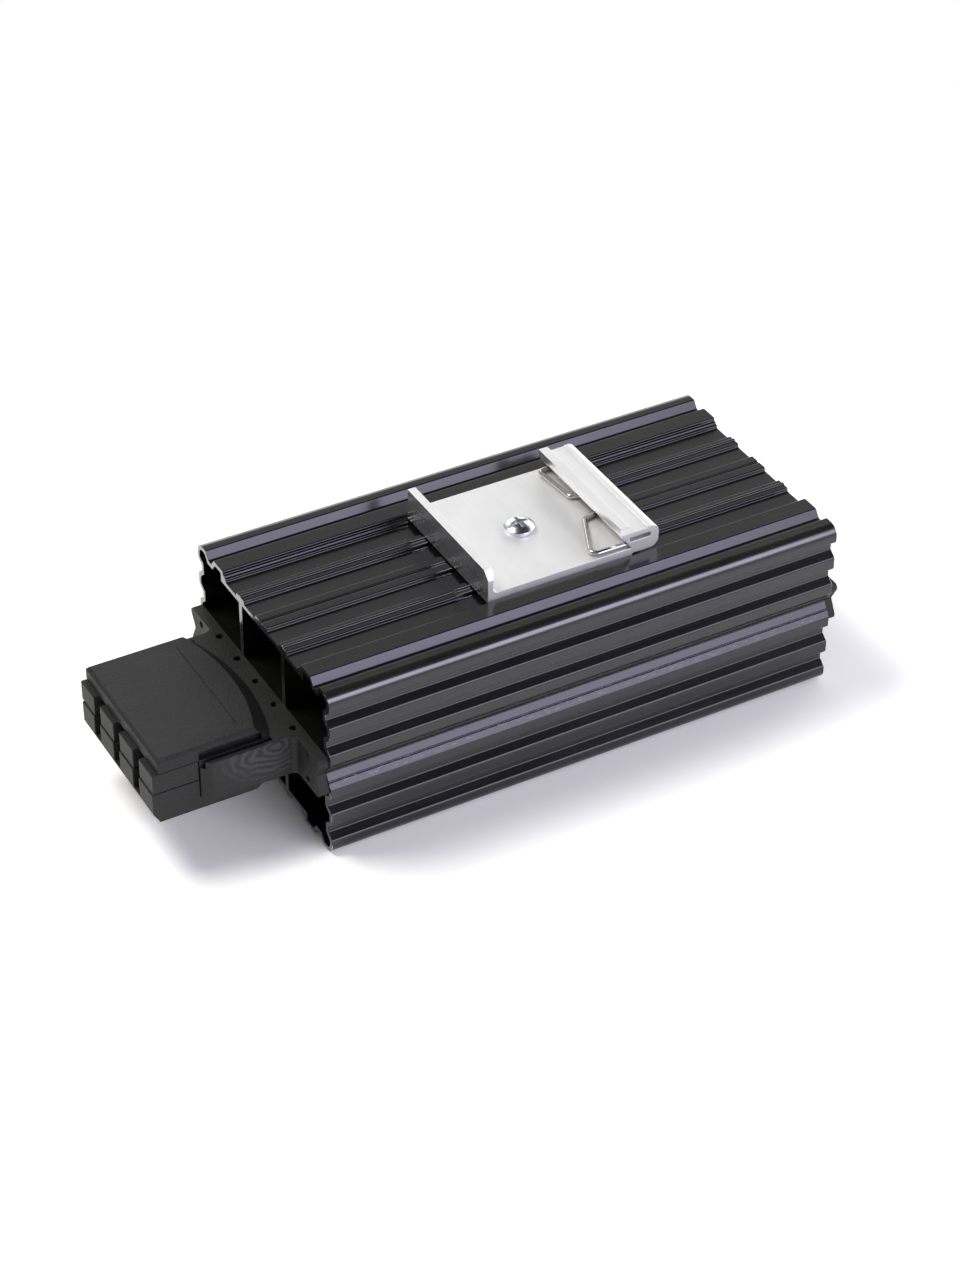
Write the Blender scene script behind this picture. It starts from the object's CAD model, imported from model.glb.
"""An enclosure heater: a finned profile with a terminal head, two end covers and a rail clip."""

from math import copysign, cos, pi, radians, sin

import bmesh
import bpy
from mathutils import Matrix, Vector


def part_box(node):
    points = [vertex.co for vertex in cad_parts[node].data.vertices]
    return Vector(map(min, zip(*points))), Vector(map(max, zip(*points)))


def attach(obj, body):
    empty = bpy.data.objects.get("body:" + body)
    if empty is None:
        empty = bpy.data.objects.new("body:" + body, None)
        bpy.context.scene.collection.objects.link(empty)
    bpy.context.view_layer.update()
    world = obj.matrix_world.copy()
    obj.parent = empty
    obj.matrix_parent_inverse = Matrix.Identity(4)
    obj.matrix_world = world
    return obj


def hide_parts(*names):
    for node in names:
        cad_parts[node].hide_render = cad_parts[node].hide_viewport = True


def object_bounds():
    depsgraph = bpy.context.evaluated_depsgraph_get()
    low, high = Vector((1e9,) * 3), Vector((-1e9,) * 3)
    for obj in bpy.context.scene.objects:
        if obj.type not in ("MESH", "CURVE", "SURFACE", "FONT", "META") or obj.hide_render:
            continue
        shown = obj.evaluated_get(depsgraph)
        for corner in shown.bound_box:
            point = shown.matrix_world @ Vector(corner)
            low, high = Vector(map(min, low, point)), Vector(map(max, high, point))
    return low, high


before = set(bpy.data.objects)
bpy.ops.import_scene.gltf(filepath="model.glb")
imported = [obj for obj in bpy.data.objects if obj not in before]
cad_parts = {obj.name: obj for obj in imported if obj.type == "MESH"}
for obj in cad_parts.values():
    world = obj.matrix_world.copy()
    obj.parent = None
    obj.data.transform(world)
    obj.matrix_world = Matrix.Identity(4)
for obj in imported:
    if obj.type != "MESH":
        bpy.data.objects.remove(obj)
cad_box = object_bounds()
scene = bpy.context.scene


# Heater profile: one aluminium bar, extruded with its grooves, ribs and ducts, anodised black and
# then sawn to length. Its outline is read from the bar's end, each corner gets a fillet, wider on
# the two sides, the outline is pushed along x, and the rims of the sawn ends are broken.
profile_low, profile_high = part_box("heater_profile")
half_height = (profile_low.z + profile_high.z) / 2
half_width = profile_high.y
top_corner = 0.0004
side_corner = 0.0008
corner_turn = radians(18)
corner_steps = 5
rim_width = 0.00008
rim_steps = 2
rim_turn = radians(60)
profile_crease = radians(25)
weld = 1e-6
same_place = weld * 10
end_facing = 0.99
oxide_tint = (0.97, 0.95, 1.05, 1.0)
# Each pair is where a mark begins to change and where it is done: in from the sides for the inward
# ones, in from the top and the foot for the edge, and away from half height for the scuffs.
rub_inward = (0.0034, 0.0017)
rub_edge = (0.0020, 0.0012)
scuff_inward = (0.004, 0.003)
scuff_start = (0.0017, 0.0022)
scuff_end = (0.0030, 0.0036)
bare_inward = (0.006, 0.001)


class Link:
    """One output in a node tree. Arithmetic on it adds Math nodes, and node() adds any other."""

    def __init__(self, tree, output=None):
        self.tree = tree
        self.output = output

    def node(self, kind, settings=None, sockets=None, output=0):
        made = self.tree.nodes.new(kind)
        for name, value in (settings or {}).items():
            setattr(made, name, value)
        for name, value in (sockets or {}).items():
            for one in value if isinstance(value, list) else [value]:
                if isinstance(one, Link):
                    self.tree.links.new(one.output, made.inputs[name])
                else:
                    made.inputs[name].default_value = one
        return Link(self.tree, made.outputs[output])

    def math(self, operation, *values):
        return self.node("ShaderNodeMath", {"operation": operation}, dict(enumerate(values)))

    def __add__(self, other):
        return self.math("ADD", self, other)

    def __sub__(self, other):
        return self.math("SUBTRACT", self, other)

    def __rsub__(self, other):
        return self.math("SUBTRACT", other, self)

    def __mul__(self, other):
        return self.math("MULTIPLY", self, other)

    def __abs__(self):
        return self.math("ABSOLUTE", self)

    __radd__ = __add__
    __rmul__ = __mul__

    def axis(self, letter):
        return self.node("ShaderNodeSeparateXYZ", {}, {"Vector": self}, letter)

    def noise(self, per_metre, detail=3.0):
        """Noise from about -0.5 to 0.5, with a number of spots to the metre on each axis."""
        stretched = self.node("ShaderNodeMapping", {}, {"Vector": self, "Scale": per_metre})
        spots = {"Vector": stretched, "Scale": 1.0, "Detail": detail}
        return self.node("ShaderNodeTexNoise", {}, spots, "Fac") - 0.5

    def ramp(self, low, high, start=0.0, end=1.0):
        """A smooth rise from start to end while this value goes from low to high."""
        rise = {"Value": self, "From Min": low, "From Max": high, "To Min": start, "To Max": end}
        return self.node("ShaderNodeMapRange", {"interpolation_type": "SMOOTHSTEP"}, rise)

    def blend(self, dark, light):
        """A colour between two others, chosen by this value."""
        return self.node("ShaderNodeMix", {"data_type": "RGBA"}, {0: self, 6: dark, 7: light}, 2)

    def bump(self, height):
        """A surface normal raised by this value, which is 1 at the height in metres."""
        raised = {"Height": self, "Distance": height, "Strength": 1.0}
        return self.node("ShaderNodeBump", {}, raised, "Normal")


def finish(name, **constants):
    """A new material with its shader's even values, and its object coordinates to draw on."""
    material = bpy.data.materials.new(name)
    material.use_nodes = True
    shader = material.node_tree.nodes["Principled BSDF"]
    for socket, value in constants.items():
        shader.inputs[socket.replace("_", " ")].default_value = value
    return material, Link(material.node_tree).node("ShaderNodeTexCoord", output="Object")


def paint(material, **sockets):
    """Leads drawn values to the sockets of a material's Principled shader."""
    shader = material.node_tree.nodes["Principled BSDF"]
    for socket, value in sockets.items():
        material.node_tree.links.new(value.output, shader.inputs[socket.replace("_", " ")])


def black_anodising():
    """Black oxide with the die's fine lines along the bar, rubbed at its outer corners."""
    even = {"IOR": 1.59, "Coat_IOR": 1.9, "Coat_Roughness": 0.25, "Specular_Tint": oxide_tint}
    material, at = finish("black_anodising", **even)
    die_lines = at.noise((9.0, 2600.0, 2600.0), 4.0)
    grain = at.noise((5200.0, 5200.0, 5200.0), 2.0)
    clouds = at.noise((60.0, 160.0, 160.0), 3.0)
    tone = (die_lines + grain * 0.6 + clouds).ramp(-0.5, 0.5)
    sideways = abs(at.axis("Y"))
    from_middle = abs(at.axis("Z") - half_height)
    rubbed = sideways.ramp(half_width - rub_inward[0], half_width - rub_inward[1])
    rubbed = rubbed * from_middle.ramp(half_height - rub_edge[0], half_height - rub_edge[1])
    scuffs = at.noise((700.0, 2600.0, 2600.0), 4.0).ramp(0.02, 0.20)
    scuffs = scuffs * sideways.ramp(half_width - scuff_inward[0], half_width - scuff_inward[1])
    scuffs = scuffs * from_middle.ramp(*scuff_start) * from_middle.ramp(*scuff_end, 1.0, 0.0)
    oxide = tone.blend((0.0035, 0.0036, 0.0030, 1.0), (0.0075, 0.0076, 0.0066, 1.0))
    paint(
        material,
        Coat_Weight=rubbed * (0.65 + clouds * 0.6),
        Base_Color=scuffs.blend(oxide, (0.11, 0.11, 0.12, 1.0)),
        Roughness=0.20 + die_lines * 0.10 + grain * 0.08 + clouds * 0.05,
        Normal=(die_lines * 0.7 + grain * 0.6).bump(3e-6),
    )
    return material


def sawn_aluminium():
    """Darkened aluminium of the sawn ends, with the strokes of the saw across it."""
    material, at = finish("sawn_aluminium", Metallic=1.0)
    strokes = at.noise((900.0, 260.0, 3800.0), 3.0)
    grain = at.noise((4000.0, 4000.0, 4000.0), 2.0)
    tone = (strokes + grain * 0.6).ramp(-0.4, 0.4)
    paint(
        material,
        Base_Color=tone.blend((0.16, 0.16, 0.165, 1.0), (0.34, 0.34, 0.35, 1.0)),
        Roughness=0.20 + strokes * 0.10,
        Normal=(strokes + grain * 0.4).bump(3e-6),
    )
    return material


def bare_rim():
    """Bare aluminium on the broken rims of the sawn ends, bright in places."""
    material, at = finish("bare_rim", Metallic=1.0, Roughness=0.32)
    outward = abs(at.axis("Y")).ramp(half_width - bare_inward[0], half_width - bare_inward[1])
    patches = at.noise((420.0, 420.0, 420.0), 3.0) + outward * 0.12
    bright = patches.ramp(0.08, 0.28)
    paint(material, Base_Color=bright.blend((0.02, 0.02, 0.021, 1.0), (0.80, 0.80, 0.81, 1.0)))
    return material


def shown(name, mesh):
    """A new object of the scene."""
    piece = bpy.data.objects.new(name, mesh)
    scene.collection.objects.link(piece)
    return piece


def baked(piece):
    """Makes a piece's modifiers into plain mesh."""
    evaluated = piece.evaluated_get(bpy.context.evaluated_depsgraph_get())
    mesh = bpy.data.meshes.new_from_object(evaluated)
    piece.modifiers.clear()
    piece.data = mesh
    return mesh


def settle(piece, crease=radians(35)):
    """Bakes a piece with its flat faces flat and its rounded edges smooth."""
    mesh = baked(piece)
    mesh.shade_smooth()
    mesh.set_sharp_from_angle(angle=crease)
    normals = piece.modifiers.new("flat_faces", "WEIGHTED_NORMAL")
    normals.keep_sharp = True
    baked(piece)
    return piece


def on_root(piece, slot, *nodes):
    """Puts a piece on the heater's one body in the place of its nodes."""
    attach(piece, "root")
    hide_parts(*nodes)


def welded(node, reach=weld):
    """A node's mesh with its loose triangles joined, and points closer than the reach made one."""
    solid = bmesh.new()
    solid.from_mesh(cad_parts[node].data)
    bmesh.ops.remove_doubles(solid, verts=solid.verts, dist=reach)
    solid.normal_update()
    return solid


def end_outline(node, corner, outer_corner):
    """The outlines at a bar's low end, drawn flat, with the fillet that each corner gets."""
    bar = welded(node)
    end = {face for face in bar.faces if face.normal.x < -end_facing}
    low = min(face.calc_center_median().x for face in end)
    end = {face for face in end if face.calc_center_median().x < low + same_place}
    rim = [edge for edge in bar.edges if len(end.intersection(edge.link_faces)) == 1]
    ends = {}
    for edge in rim:
        for point in edge.verts:
            ends.setdefault(point, []).append(edge.other_vert(point))
    order = {point: index for index, point in enumerate(ends)}
    outline = bpy.data.meshes.new(node + "_outline")
    places = [(point.co.y, point.co.z, 0.0) for point in ends]
    outline.from_pydata(places, [[order[point] for point in edge.verts] for edge in rim], [])
    fillet = outline.attributes.new("fillet", "FLOAT", "POINT")
    for point, (before, after) in ends.items():
        turn = (point.co - before.co).angle(after.co - point.co)
        width = outer_corner if abs(point.co.y) > half_width - same_place else corner
        fillet.data[order[point]].value = width if turn > corner_turn else 0.0
    bar.free()
    return outline


def sawn_bar_tree():
    """Geometry Nodes that fillet an outline, fill it, push it along x and tell its ends apart."""
    tree = bpy.data.node_groups.new("sawn_bar", "GeometryNodeTree")
    tree.interface.new_socket("Geometry", in_out="OUTPUT", socket_type="NodeSocketGeometry")
    for name, kind in {
        "Geometry": "Geometry",
        "Start": "Float",
        "Length": "Float",
        "Corner Steps": "Int",
        "Skin": "Material",
        "Sawn End": "Material",
    }.items():
        tree.interface.new_socket(name, in_out="INPUT", socket_type="NodeSocket" + kind)
    entry = tree.nodes.new("NodeGroupInput")
    given = {socket.name: Link(tree, socket) for socket in entry.outputs}
    make = Link(tree).node
    curve = make("GeometryNodeMeshToCurve", {}, {"Mesh": given["Geometry"]})
    fillet = make("GeometryNodeInputNamedAttribute", {"data_type": "FLOAT"}, {"Name": "fillet"})
    corners = {
        "Curve": curve,
        "Count": given["Corner Steps"],
        "Radius": fillet,
        "Limit Radius": True,
    }
    rounded = make("GeometryNodeFilletCurve", {"mode": "POLY"}, corners)
    flat = make("GeometryNodeFillCurve", {"mode": "TRIANGLES"}, {"Curve": rounded})
    push = {
        "Mesh": flat,
        "Offset": (0.0, 0.0, 1.0),
        "Offset Scale": given["Length"],
        "Individual": False,
    }
    body = make("GeometryNodeExtrudeMesh", {"mode": "FACES"}, push)
    start = make("GeometryNodeFlipFaces", {}, {"Mesh": flat})
    both = make("GeometryNodeJoinGeometry", {}, {"Geometry": [body, start]})
    closed = make("GeometryNodeMergeByDistance", {}, {"Geometry": both, "Distance": weld})
    skinned = make("GeometryNodeSetMaterial", {}, {"Geometry": closed, "Material": given["Skin"]})
    facing = abs(make("GeometryNodeInputNormal").axis("Z"))
    sawn = make("FunctionNodeCompare", {"operation": "GREATER_THAN"}, {"A": facing, "B": end_facing})
    ends = {"Geometry": skinned, "Selection": sawn, "Material": given["Sawn End"]}
    bar = make("GeometryNodeSetMaterial", {}, ends)
    shift = make("ShaderNodeCombineXYZ", {}, {"X": given["Start"]})
    turned = {"Geometry": bar, "Rotation": (pi / 2, 0.0, pi / 2), "Translation": shift}
    laid = make("GeometryNodeTransform", {}, turned)
    out = make("GeometryNodeRealizeInstances", {}, {"Geometry": laid})
    exit_node = tree.nodes.new("NodeGroupOutput")
    tree.links.new(out.output, exit_node.inputs["Geometry"])
    return tree


def grown(piece, tree, **inputs):
    """Adds a Geometry Nodes tree to a piece with its named inputs set."""
    modifier = piece.modifiers.new(tree.name, "NODES")
    modifier.node_group = tree
    for socket in tree.interface.items_tree:
        if socket.in_out == "INPUT" and socket.name.replace(" ", "_") in inputs:
            modifier[socket.identifier] = inputs[socket.name.replace(" ", "_")]


profile = shown("finned_profile", end_outline("heater_profile", top_corner, side_corner))
grown(
    profile,
    sawn_bar_tree(),
    Start=profile_low.x,
    Length=profile_high.x - profile_low.x,
    Corner_Steps=corner_steps,
    Skin=black_anodising(),
    Sawn_End=sawn_aluminium(),
)
baked(profile).materials.append(bare_rim())
sawn_rim = profile.modifiers.new("sawn_rim", "BEVEL")
sawn_rim.width = rim_width
sawn_rim.segments = rim_steps
sawn_rim.limit_method = "ANGLE"
sawn_rim.angle_limit = rim_turn
sawn_rim.use_clamp_overlap = False
sawn_rim.material = len(profile.data.materials) - 1
settle(profile, profile_crease)
on_root(profile, "black_anodised", "heater_profile")


# Heating element: five ceramic tiles in a plastic frame between sheet electrodes, wrapped in an
# insulating film. It is clamped deep inside the middle of the profile, so it stays the CAD's own
# solids, and each gets the finish of its material.
def heating_ceramic():
    """Fired grey ceramic with fine pores."""
    material, at = finish("heating_ceramic", Roughness=0.6)
    pores = at.noise((2400.0, 2400.0, 2400.0), 4.0)
    paint(
        material,
        Base_Color=pores.ramp(-0.3, 0.3).blend((0.10, 0.095, 0.09, 1.0), (0.24, 0.23, 0.22, 1.0)),
        Normal=pores.bump(2e-5),
    )
    return material


def frame_plastic():
    """Off-white filled plastic of the tile frame."""
    material, at = finish("frame_plastic", Roughness=0.55)
    flow = at.noise((180.0, 420.0, 420.0), 3.0)
    paint(
        material,
        Base_Color=flow.ramp(-0.4, 0.4).blend((0.62, 0.60, 0.55, 1.0), (0.74, 0.72, 0.67, 1.0)),
        Normal=at.noise((3000.0, 3000.0, 3000.0)).bump(6e-6),
    )
    return material


def electrode_sheet():
    """Rolled aluminium sheet with its rolling lines."""
    material, at = finish("electrode_sheet", Metallic=1.0)
    rolled = at.noise((20.0, 2600.0, 2600.0), 3.0)
    paint(
        material,
        Base_Color=rolled.ramp(-0.4, 0.4).blend((0.66, 0.66, 0.67, 1.0), (0.82, 0.82, 0.83, 1.0)),
        Roughness=0.3 + rolled * 0.2,
    )
    return material


def amber_film():
    """Amber insulating film, glossy and a little uneven."""
    material, at = finish("amber_film", Roughness=0.22)
    waves = at.noise((90.0, 160.0, 160.0), 2.0)
    paint(
        material,
        Base_Color=waves.ramp(-0.4, 0.4).blend((0.34, 0.12, 0.012, 1.0), (0.52, 0.22, 0.03, 1.0)),
        Normal=waves.bump(4e-5),
    )
    return material


def dressed(material, *nodes):
    """Gives CAD nodes that stay in view a finish of their own."""
    for node in nodes:
        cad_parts[node].data.materials[0] = material


dressed(heating_ceramic(), "ceramic_tiles")
dressed(frame_plastic(), "tile_frame")
dressed(electrode_sheet(), "upper_electrode", "lower_electrode")
dressed(amber_film(), "insulating_sleeve")


# End covers: moulded dark grey plastic, the front one with its flange and neck, the rear one a
# plain ring plate. Each is the CAD cover with its edges eased the way a mould leaves them.
rear_edge = 0.00025
front_edge = 0.0001
shortest_edge = 0.00015
narrowest_face = 0.0002
tiny_step = 2e-5
sharp = radians(25)
flat_turn = radians(0.5)
neck_gate = Vector((-0.0600, 0.0, 0.0280))
neck_back = -0.0555
neck_side = 0.0224
swirl_stretch = Vector((0.6, 0.0, 1.0))
swirl_pitch = 0.0015
swirl_reach = 0.011
swirl_fade_back = 0.001
swirl_fade_side = 0.0003


def moulded_plastic():
    """Dark glass-filled plastic: the grain of its mould, flow marks, and swirls at the neck's gate."""
    material, at = finish("moulded_plastic", IOR=1.42)
    grain = at.noise((2200.0, 2200.0, 2200.0), 2.0)
    specks = at.noise((1500.0, 1500.0, 1500.0), 2.0)
    flow = at.noise((70.0, 110.0, 110.0), 4.0)
    shift = Vector(-along * stretch for along, stretch in zip(neck_gate, swirl_stretch))
    from_gate = {"Vector": at, "Location": shift, "Scale": swirl_stretch}
    gate = at.node("ShaderNodeMapping", {}, from_gate)
    away = at.node("ShaderNodeVectorMath", {"operation": "LENGTH"}, {0: gate}, "Value")
    near = away.ramp(swirl_reach * 0.4, swirl_reach, 1.0, 0.0)
    turns = away * (2 * pi / swirl_pitch) + at.noise((160.0, 160.0, 160.0), 2.0) * 16.0
    swirl = near * (turns.math("SINE", turns) * (0.5 + flow * 2.4) + 0.55)
    swirl = swirl * at.axis("X").ramp(neck_back - swirl_fade_back, neck_back, 1.0, 0.0)
    swirl = swirl * abs(at.axis("Y")).ramp(neck_side, neck_side + swirl_fade_side)
    tone = (grain * 0.9 + flow * 0.8).ramp(-0.5, 0.5) + specks.ramp(0.14, 0.30) * 0.5
    plain = tone.blend((0.0028, 0.0028, 0.0027, 1.0), (0.0194, 0.0193, 0.0190, 1.0))
    paint(
        material,
        Base_Color=swirl.blend(plain, (0.046, 0.046, 0.0455, 1.0)),
        Roughness=0.56 + grain * 0.20 + flow * 0.10 - swirl * 0.04,
        Normal=(grain + specks * 0.5).bump(1.3e-4),
    )
    return material


def eased(node, name, edge, material, steps=3, share=None, moved=None):
    """A copy of a node with its sharp edges rounded, after moved has shifted its points.

    With a share, fine features stay sharp, and it gives the part of the width at each place.
    """
    solid = welded(node, tiny_step if share else weld)
    bmesh.ops.dissolve_limit(solid, angle_limit=flat_turn, verts=solid.verts, edges=solid.edges)
    if moved:
        for point in solid.verts:
            point.co = moved(point.co)
        solid.normal_update()
    if share:
        weight = solid.edges.layers.float.new("bevel_weight_edge")
        for line in solid.edges:
            length = line.calc_length()
            room = min(face.calc_area() / length for face in line.link_faces)
            coarse = length > shortest_edge and room > narrowest_face
            if coarse and line.calc_face_angle(0.0) > sharp:
                line[weight] = share((line.verts[0].co + line.verts[1].co) / 2)
    mesh = bpy.data.meshes.new(name)
    solid.to_mesh(mesh)
    solid.free()
    mesh.materials.append(material)
    piece = shown(name, mesh)
    rounding = piece.modifiers.new("eased_edges", "BEVEL")
    rounding.width = edge
    rounding.segments = steps
    rounding.limit_method = "WEIGHT" if share else "ANGLE"
    rounding.angle_limit = sharp
    rounding.miter_outer = "MITER_ARC"
    return settle(piece)


plastic = moulded_plastic()
front = eased("front_cover", "front_end_cover", front_edge, plastic, share=lambda place: 1.0)
on_root(front, "dark_plastic", "front_cover")
on_root(eased("rear_cover", "rear_end_cover", rear_edge, plastic), "dark_plastic", "rear_cover")


# Terminal head: a base, the contact blocks with their wire slots and a scored lid, all of the
# covers' plastic, stacked on the neck. Brass cages and steel springs sit in the blocks, and a brass
# strip earths the profile.
head_edge = 0.0002
lid_edge = 0.0004
lid_foot_share = 0.4
lid_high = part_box("terminal_lid")[1]
lid_rim_height = 0.001
lid_rim = lid_high.z - lid_rim_height
score_at = -0.0666
score_half_length = 0.017
score_half_width = 0.00017
score_depth = 0.00035


def contact_brass():
    """Stamped brass, a little dulled."""
    material, at = finish("contact_brass", Metallic=1.0)
    dull = at.noise((700.0, 700.0, 700.0), 4.0)
    paint(
        material,
        Base_Color=dull.ramp(-0.4, 0.4).blend((0.52, 0.36, 0.14, 1.0), (0.78, 0.58, 0.27, 1.0)),
        Roughness=0.3 + dull * 0.2,
    )
    return material


def spring_steel():
    """Drawn spring steel, bright with fine lengthwise streaks."""
    material, at = finish("spring_steel", Metallic=1.0)
    streaks = at.noise((900.0, 900.0, 4200.0), 3.0)
    paint(
        material,
        Base_Color=streaks.ramp(-0.4, 0.4).blend((0.44, 0.435, 0.42, 1.0), (0.64, 0.63, 0.61, 1.0)),
        Roughness=0.20 + streaks * 0.14,
        Normal=streaks.bump(3e-6),
    )
    return material


def lid_share(place):
    """The lid's upper edges are rounded fully and its foot less."""
    return 1.0 if place.z > lid_rim else lid_foot_share


def scored(place):
    """A point of the lid, moved if it is on the score across the top, which is opened to show."""
    aside = place.x - score_at
    if abs(aside) > score_half_width or abs(place.y) > score_half_length or place.z < lid_rim:
        return place
    if abs(aside) < same_place:
        return Vector((place.x, place.y, lid_high.z - score_depth))
    return Vector((score_at + copysign(score_half_width, aside), place.y, place.z))


spring = spring_steel()
dressed(contact_brass(), "contact_cages", "earth_strip")
dressed(spring, "clamp_springs")
base = eased("terminal_base", "head_base", head_edge, plastic)
on_root(base, "dark_plastic", "terminal_base")
blocks = eased("terminal_blocks", "head_blocks", head_edge, plastic)
on_root(blocks, "dark_plastic", "terminal_blocks")
lid = eased("terminal_lid", "head_lid", lid_edge, plastic, share=lid_share, moved=scored)
on_root(lid, "dark_plastic", "terminal_lid")


# Rail clip: a length of bright extruded aluminium with a hook at one edge and a hollow bar at the
# other, screwed on the profile. It is the CAD clip with eased edges, and its streaks run along y,
# the way it was extruded.
clip_edge = 0.00015
clip_steps = 2


def bright_aluminium():
    """Bare aluminium with extrusion streaks along y, dull on top and smoother on upright faces."""
    material, at = finish("bright_aluminium")
    streaks = at.noise((3400.0, 14.0, 3400.0), 4.0)
    grain = at.noise((4600.0, 2200.0, 4600.0), 2.0)
    smudges = at.noise((210.0, 140.0, 210.0), 4.0)
    upright = abs(at.node("ShaderNodeTexCoord", output="Normal").axis("X")).ramp(0.7, 0.95)
    tone = (streaks * 0.8 + grain * 0.5 + smudges * 0.5).ramp(-0.5, 0.5)
    paint(
        material,
        Base_Color=tone.blend((0.79, 0.79, 0.795, 1.0), (0.89, 0.89, 0.89, 1.0)),
        Metallic=0.72 + upright * 0.28,
        Roughness=0.52 - upright * 0.23 + streaks * 0.12 + grain * 0.06 + smudges * 0.10,
        Normal=(streaks + grain * 0.15).bump(2e-6),
    )
    return material


clip = eased("rail_clip", "clip_for_rail", clip_edge, bright_aluminium(), clip_steps)
on_root(clip, "bright_aluminium", "rail_clip")


# Clip spring: one bright steel wire bent into two loops in front of the bar, its ends tucked under
# the bar's lip. The bends are points on the clip's plate, in mm from the wire's back and from the
# clip's middle, and Geometry Nodes round them and sweep the wire along.
mm = 0.001
wire_radius = 0.00065
wire_bend = 0.0012
bend_steps = 8
wire_sides = 20
wire_crease = radians(50)
wire_low, wire_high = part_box("clip_spring")
wire_height = (wire_low.z + wire_high.z) / 2
wire_back = wire_high.x - wire_radius
bends_mm = [
    (0.0, 18.6),
    (5.3, 17.95),
    (4.1, 4.85),
    (0.0, 3.55),
    (0.0, -3.75),
    (6.1, -5.05),
    (11.8, -17.4),
    (10.5, -18.8),
    (0.0, -18.8),
]


def bent_wire_tree():
    """Geometry Nodes that round a path's corners and sweep a round wire along it."""
    tree = bpy.data.node_groups.new("bent_wire", "GeometryNodeTree")
    tree.interface.new_socket("Geometry", in_out="OUTPUT", socket_type="NodeSocketGeometry")
    for name, kind in {
        "Geometry": "Geometry",
        "Wire Radius": "Float",
        "Bend Radius": "Float",
        "Bend Steps": "Int",
        "Wire Sides": "Int",
        "Steel": "Material",
    }.items():
        tree.interface.new_socket(name, in_out="INPUT", socket_type="NodeSocket" + kind)
    entry = tree.nodes.new("NodeGroupInput")
    given = {socket.name: Link(tree, socket) for socket in entry.outputs}
    make = Link(tree).node
    path = make("GeometryNodeMeshToCurve", {}, {"Mesh": given["Geometry"]})
    corners = {
        "Curve": path,
        "Count": given["Bend Steps"],
        "Radius": given["Bend Radius"],
        "Limit Radius": True,
    }
    rounded = make("GeometryNodeFilletCurve", {"mode": "POLY"}, corners)
    ring = {"Resolution": given["Wire Sides"], "Radius": given["Wire Radius"]}
    section = make("GeometryNodeCurvePrimitiveCircle", {"mode": "RADIUS"}, ring)
    sweep = {"Curve": rounded, "Profile Curve": section, "Fill Caps": True}
    swept = make("GeometryNodeCurveToMesh", {}, sweep)
    whole = make("GeometryNodeRealizeInstances", {}, {"Geometry": swept})
    steel = make("GeometryNodeSetMaterial", {}, {"Geometry": whole, "Material": given["Steel"]})
    exit_node = tree.nodes.new("NodeGroupOutput")
    tree.links.new(steel.output, exit_node.inputs["Geometry"])
    return tree


wire_path = bpy.data.meshes.new("wire_path")
stations = [(wire_back - reach * mm, side * mm, wire_height) for reach, side in bends_mm]
wire_path.from_pydata(stations, [(index, index + 1) for index in range(len(stations) - 1)], [])
wire = shown("bent_wire", wire_path)
grown(
    wire,
    bent_wire_tree(),
    Wire_Radius=wire_radius,
    Bend_Radius=wire_bend,
    Bend_Steps=bend_steps,
    Wire_Sides=wire_sides,
    Steel=spring,
)
settle(wire, wire_crease)
on_root(wire, "spring_steel", "clip_spring")


# Clip screw and nut: zinc-plated steel, a domed head with a cross recess on the clip's plate and a
# nut in the profile. The screw is the CAD screw with its edges eased, and the nut is out of sight
# and stays as it is.
screw_edge = 0.00008
screw_steps = 2


def zinc_plate():
    """Bluish bright zinc plating."""
    material, at = finish("zinc_plate", Metallic=1.0)
    spangle = at.noise((2600.0, 2600.0, 2600.0), 3.0)
    paint(
        material,
        Base_Color=spangle.ramp(-0.4, 0.4).blend((0.60, 0.63, 0.67, 1.0), (0.78, 0.80, 0.83, 1.0)),
        Roughness=0.22 + spangle * 0.14,
        Normal=spangle.bump(4e-6),
    )
    return material


zinc = zinc_plate()
screw = eased("clip_screw", "cross_screw", screw_edge, zinc, screw_steps)
on_root(screw, "zinc_steel", "clip_screw")
dressed(zinc, "clip_nut")


# Floor: a matt white table under the heater that keeps its shadow and fades into the white around
# it. The fade is a ring about the heater's middle, so no edge of the table is in view.
floor_half = 0.6
fade_start = 0.17
fade_end = 0.36
board_colour = (0.92, 0.92, 0.92, 1.0)
shown_colour = (1.30, 1.30, 1.28, 1.0)
middle = (cad_box[0] + cad_box[1]) / 2


def white_table():
    """Matt white board, shown a little brighter than it lights the heater."""
    material, at = finish("white_table", Roughness=0.9, IOR=1.2)
    tree = material.node_tree
    seen = at.node("ShaderNodeLightPath", output="Is Camera Ray")
    seen = seen + at.node("ShaderNodeLightPath", output="Is Glossy Ray")
    seen = seen + at.node("ShaderNodeLightPath", output="Is Transmission Ray")
    paint(material, Base_Color=seen.blend(board_colour, shown_colour))
    away = at.node("ShaderNodeVectorMath", {"operation": "LENGTH"}, {0: at}, "Value")
    clear = at.node("ShaderNodeBsdfTransparent")
    board = Link(tree, tree.nodes["Principled BSDF"].outputs["BSDF"])
    fade = {0: away.ramp(fade_start, fade_end), 1: board, 2: clear}
    faded = at.node("ShaderNodeMixShader", {}, fade)
    tree.links.new(faded.output, tree.nodes["Material Output"].inputs["Surface"])
    return material


table_mesh = bpy.data.meshes.new("table")
table_signs = [(-1, -1), (1, -1), (1, 1), (-1, 1)]
table_corners = [(floor_half * x, floor_half * y, 0.0) for x, y in table_signs]
table_mesh.from_pydata(table_corners, [], [(0, 1, 2, 3)])
table_mesh.materials.append(white_table())
table = shown("table", table_mesh)
table.location = (middle.x, middle.y, cad_box[0].z)


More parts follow.
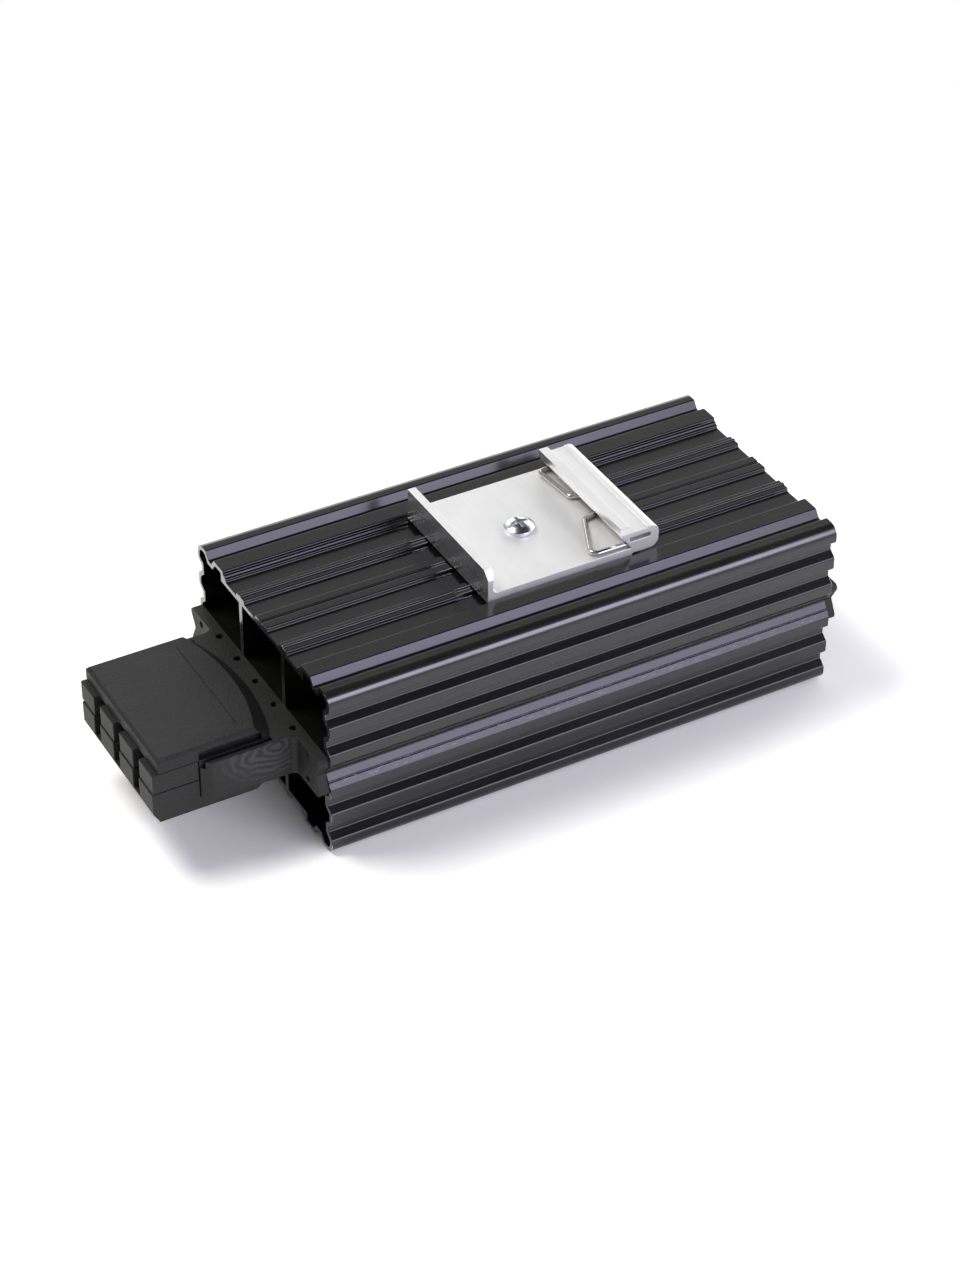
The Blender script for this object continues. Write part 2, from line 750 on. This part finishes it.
# Light: walls that go from dim on the left to bright on the right, a dark ceiling, a bright screen
# with a dim core behind the heater, and two soft boxes. The main box hangs high behind on the left,
# and a lower, slightly violet one stands in front on the right.
left_wall = (-1.0, 0.0, 0.0)
left_fade = (-0.4, 0.6)
left_colour = (0.35, 0.345, 0.36, 1.0)
right_fade = (-0.95, -0.6)
right_colour = (2.6, 2.58, 2.66, 1.0)
wall_colour = (1.02, 1.01, 1.06, 1.0)
back_screen = Vector((0.41, 0.68, 0.60)).normalized()
screen_fade = (0.80, 0.90)
screen_colour = (2.0, 1.99, 2.0, 1.0)
core_fade = (0.95, 0.985)
core_colour = (0.50, 0.50, 0.47, 1.0)
ceiling_fade = (sin(radians(40)), sin(radians(48)))
ceiling_colour = (0.03, 0.03, 0.033, 1.0)
horizon_fade = (-0.03, 0.03)
ground_colour = (1.0, 1.0, 1.0, 1.0)
boxes = {
    "main_box": {
        "toward": (-0.42, 0.33, 1.0),
        "distance": 1.0,
        "size": (0.38, 0.38),
        "power": 6.2,
        "colour": (1.0, 0.985, 0.94),
    },
    "front_box": {
        "toward": (0.30, -0.84, 0.455),
        "distance": 1.2,
        "size": (0.76, 0.64),
        "power": 5.3,
        "colour": (0.80, 0.78, 1.0),
    },
}


def facing(sky, direction):
    """How far each way of looking agrees with one direction, from -1 to 1."""
    pair = {0: sky, 1: direction}
    return sky.node("ShaderNodeVectorMath", {"operation": "DOT_PRODUCT"}, pair, "Value")


surround = bpy.data.worlds.new("surround")
surround.use_nodes = True
scene.world = surround
sky = Link(surround.node_tree).node("ShaderNodeTexCoord", output="Generated")
height = sky.axis("Z")
screen = facing(sky, back_screen)
left = facing(sky, left_wall)
walls = left.ramp(*left_fade).blend(wall_colour, left_colour)
walls = left.ramp(*right_fade).blend(right_colour, walls)
walls = screen.ramp(*screen_fade).blend(walls, screen_colour)
walls = screen.ramp(*core_fade).blend(walls, core_colour)
room = height.ramp(*ceiling_fade).blend(walls, ceiling_colour)
around = height.ramp(*horizon_fade).blend(ground_colour, room)
background = surround.node_tree.nodes["Background"]
surround.node_tree.links.new(around.output, background.inputs["Color"])
for name, box in boxes.items():
    lamp = bpy.data.lights.new(name, "AREA")
    lamp.shape = "RECTANGLE"
    lamp.size, lamp.size_y = box["size"]
    lamp.energy = box["power"]
    lamp.color = box["colour"]
    stand = shown(name, lamp)
    toward = Vector(box["toward"]).normalized()
    stand.location = middle + toward * box["distance"]
    stand.rotation_euler = toward.to_track_quat("Z", "Y").to_euler()


# Camera: a long lens from the front left, above the heater.
# It is turned by an azimuth, an elevation and a slight roll about its line of sight.
camera_at = Vector((-0.2904, -0.5200, 0.4796))
camera_azimuth = radians(-29.82)
camera_elevation = radians(37.55)
camera_roll = radians(0.72)
camera_lens = 85.7
camera_sensor = 36.0
camera_data = bpy.data.cameras.new("camera")
camera_data.lens = camera_lens
camera_data.sensor_width = camera_sensor
camera = shown("camera", camera_data)
right = Vector((cos(camera_azimuth), sin(camera_azimuth), 0.0))
back = Vector(
    (
        sin(camera_azimuth) * cos(camera_elevation),
        -cos(camera_azimuth) * cos(camera_elevation),
        sin(camera_elevation),
    )
)
up = back.cross(right)
tilted_right = right * cos(camera_roll) + up * sin(camera_roll)
tilted_up = up * cos(camera_roll) - right * sin(camera_roll)
turned = Matrix((tilted_right, tilted_up, back)).transposed()
camera.matrix_world = Matrix.Translation(camera_at) @ turned.to_4x4()
scene.camera = camera
scene.view_settings.view_transform = "Standard"
